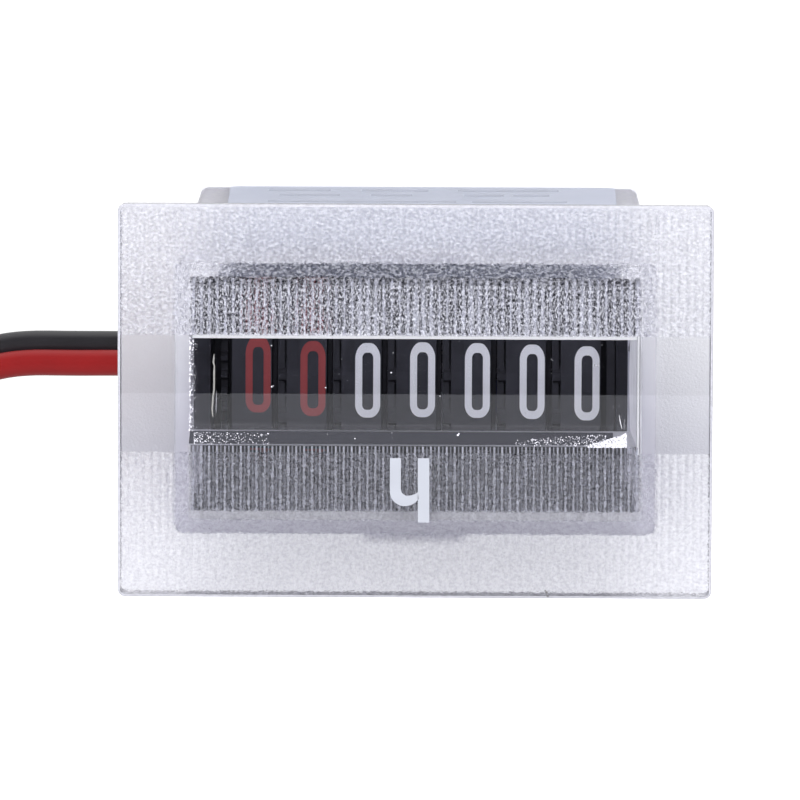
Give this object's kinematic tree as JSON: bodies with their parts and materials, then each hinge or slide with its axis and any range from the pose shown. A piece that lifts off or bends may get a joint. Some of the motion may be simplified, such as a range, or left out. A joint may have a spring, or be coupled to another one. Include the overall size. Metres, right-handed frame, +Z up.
{
  "type": "panel hour meter",
  "caption": "Rectangular panel-mount running-time counter with a lens window over a row of number wheels, box-shaped clear body, snap fit and two wire leads.",
  "frame": {"origin": "centre of the bezel's rear face, the plane that seats on the panel", "axes": "+Y into the panel, away from the reader, so the front faces -Y; +X to the right and +Z up as the meter lies in the picture, which is upside down: a half turn about Y brings it to the reading position, with the fractions of an hour at the right"},
  "size_m": [0.0734, 0.0504, 0.024],
  "materials": {
    "clear_plastic": "clear moulded polycarbonate, fine-grained front with a polished window band and fine ribs behind the plate",
    "cover_plastic": "satin moulded plastic",
    "label_foil": "matt film",
    "frame_black": "matt black moulding",
    "wheel_black": "matt black with printed figures",
    "acetal": "natural white gear plastic",
    "steel": "bright drawn steel",
    "lamination": "plain electrical sheet",
    "magnet": "plastic-bonded magnet",
    "brass": "turned",
    "bobbin": "natural moulding",
    "copper_wire": "enamelled copper wire",
    "board": "green solder mask on glass laminate",
    "component_black": "moulded component body",
    "crystal_can": "tinned metal can",
    "capacitor_sleeve": "shrunk sleeve over an aluminium can",
    "lead_red": "red wire insulation",
    "lead_black": "black wire insulation"
  },
  "bodies": {
    "meter": {"housing": "clear_plastic", "rear_cover": "cover_plastic", "type_label": "label_foil", "counter_frame": "frame_black", "wheel_shaft": "steel", "pinion_shaft": "steel", "train_studs": "steel", "stator": "lamination", "coil_core": "lamination", "coil_bobbin": "bobbin", "coil_winding": "copper_wire", "motor_bridge": "acetal", "bridge_screws": "steel", "circuit_board": "board", "driver_chip": "component_black", "quartz_crystal": "crystal_can", "capacitor": "capacitor_sleeve", "rectifier_diode": "component_black", "resistors": "component_black", "red_lead": "lead_red", "black_lead": "lead_black", "red_lead_coil": "lead_red", "black_lead_coil": "lead_black"},
    "rotor": {"rotor_magnet": "magnet", "rotor_pinion": "brass", "rotor_shaft": "steel"},
    "first_wheel": {"first_wheel": "acetal"},
    "second_wheel": {"second_wheel": "acetal"},
    "hundredths_wheel": {"hundredths_wheel": "wheel_black"},
    "tenths_wheel": {"tenths_wheel": "wheel_black"},
    "ones_wheel": {"ones_wheel": "wheel_black"},
    "tens_wheel": {"tens_wheel": "wheel_black"},
    "hundreds_wheel": {"hundreds_wheel": "wheel_black"},
    "thousands_wheel": {"thousands_wheel": "wheel_black"},
    "ten_thousands_wheel": {"ten_thousands_wheel": "wheel_black"},
    "transfer_pinion_1": {"transfer_pinion_1": "acetal"},
    "transfer_pinion_2": {"transfer_pinion_2": "acetal"},
    "transfer_pinion_3": {"transfer_pinion_3": "acetal"},
    "transfer_pinion_4": {"transfer_pinion_4": "acetal"},
    "transfer_pinion_5": {"transfer_pinion_5": "acetal"},
    "transfer_pinion_6": {"transfer_pinion_6": "acetal"}
  },
  "joints": [
    {"name": "rotor_spin", "type": "hinge", "parent": "meter", "child": "rotor", "pos_m": [-0.0099, 0.02661, -0.00112], "axis": [1, 0, 0], "continuous": true},
    {"name": "first_wheel_turn", "type": "hinge", "parent": "meter", "child": "first_wheel", "pos_m": [-0.0116, 0.02299, -0.00281], "axis": [1, 0, 0], "continuous": true},
    {"name": "second_wheel_turn", "type": "hinge", "parent": "meter", "child": "second_wheel", "pos_m": [-0.012, 0.01819, -0.00281], "axis": [1, 0, 0], "continuous": true},
    {"name": "hundredths_turn", "type": "hinge", "parent": "meter", "child": "hundredths_wheel", "pos_m": [-0.01002, 0.0136, 0.0004], "axis": [1, 0, 0], "continuous": true},
    {"name": "tenths_turn", "type": "hinge", "parent": "meter", "child": "tenths_wheel", "pos_m": [-0.00667, 0.0136, 0.0004], "axis": [1, 0, 0], "continuous": true},
    {"name": "ones_turn", "type": "hinge", "parent": "meter", "child": "ones_wheel", "pos_m": [-0.00332, 0.0136, 0.0004], "axis": [1, 0, 0], "continuous": true},
    {"name": "tens_turn", "type": "hinge", "parent": "meter", "child": "tens_wheel", "pos_m": [0.00002, 0.0136, 0.0004], "axis": [1, 0, 0], "continuous": true},
    {"name": "hundreds_turn", "type": "hinge", "parent": "meter", "child": "hundreds_wheel", "pos_m": [0.00337, 0.0136, 0.0004], "axis": [1, 0, 0], "continuous": true},
    {"name": "thousands_turn", "type": "hinge", "parent": "meter", "child": "thousands_wheel", "pos_m": [0.00672, 0.0136, 0.0004], "axis": [1, 0, 0], "continuous": true},
    {"name": "ten_thousands_turn", "type": "hinge", "parent": "meter", "child": "ten_thousands_wheel", "pos_m": [0.01007, 0.0136, 0.0004], "axis": [1, 0, 0], "continuous": true},
    {"name": "transfer_pinion_1_turn", "type": "hinge", "parent": "meter", "child": "transfer_pinion_1", "pos_m": [-0.00835, 0.01901, 0.00419], "axis": [1, 0, 0], "continuous": true},
    {"name": "transfer_pinion_2_turn", "type": "hinge", "parent": "meter", "child": "transfer_pinion_2", "pos_m": [-0.005, 0.01901, 0.00419], "axis": [1, 0, 0], "continuous": true},
    {"name": "transfer_pinion_3_turn", "type": "hinge", "parent": "meter", "child": "transfer_pinion_3", "pos_m": [-0.00165, 0.01901, 0.00419], "axis": [1, 0, 0], "continuous": true},
    {"name": "transfer_pinion_4_turn", "type": "hinge", "parent": "meter", "child": "transfer_pinion_4", "pos_m": [0.0017, 0.01901, 0.00419], "axis": [1, 0, 0], "continuous": true},
    {"name": "transfer_pinion_5_turn", "type": "hinge", "parent": "meter", "child": "transfer_pinion_5", "pos_m": [0.00505, 0.01901, 0.00419], "axis": [1, 0, 0], "continuous": true},
    {"name": "transfer_pinion_6_turn", "type": "hinge", "parent": "meter", "child": "transfer_pinion_6", "pos_m": [0.00839, 0.01901, 0.00419], "axis": [1, 0, 0], "continuous": true}
  ],
  "couplings": [
    {"joint": "first_wheel_turn", "follows": "rotor_spin", "ratio": -0.25},
    {"joint": "second_wheel_turn", "follows": "rotor_spin", "ratio": 0.05},
    {"joint": "hundredths_turn", "follows": "rotor_spin", "ratio": -0.0083333},
    {"joint": "tenths_turn", "follows": "rotor_spin", "ratio": -0.00083333},
    {"joint": "ones_turn", "follows": "rotor_spin", "ratio": -0.000083333},
    {"joint": "tens_turn", "follows": "rotor_spin", "ratio": -0.0000083333},
    {"joint": "hundreds_turn", "follows": "rotor_spin", "ratio": -0.00000083333},
    {"joint": "thousands_turn", "follows": "rotor_spin", "ratio": -0.000000083333},
    {"joint": "ten_thousands_turn", "follows": "rotor_spin", "ratio": -0.0000000083333},
    {"joint": "transfer_pinion_1_turn", "follows": "rotor_spin", "ratio": 0.0020833},
    {"joint": "transfer_pinion_2_turn", "follows": "rotor_spin", "ratio": 0.00020833},
    {"joint": "transfer_pinion_3_turn", "follows": "rotor_spin", "ratio": 0.000020833},
    {"joint": "transfer_pinion_4_turn", "follows": "rotor_spin", "ratio": 0.0000020833},
    {"joint": "transfer_pinion_5_turn", "follows": "rotor_spin", "ratio": 0.00000020833},
    {"joint": "transfer_pinion_6_turn", "follows": "rotor_spin", "ratio": 0.000000020833}
  ]
}
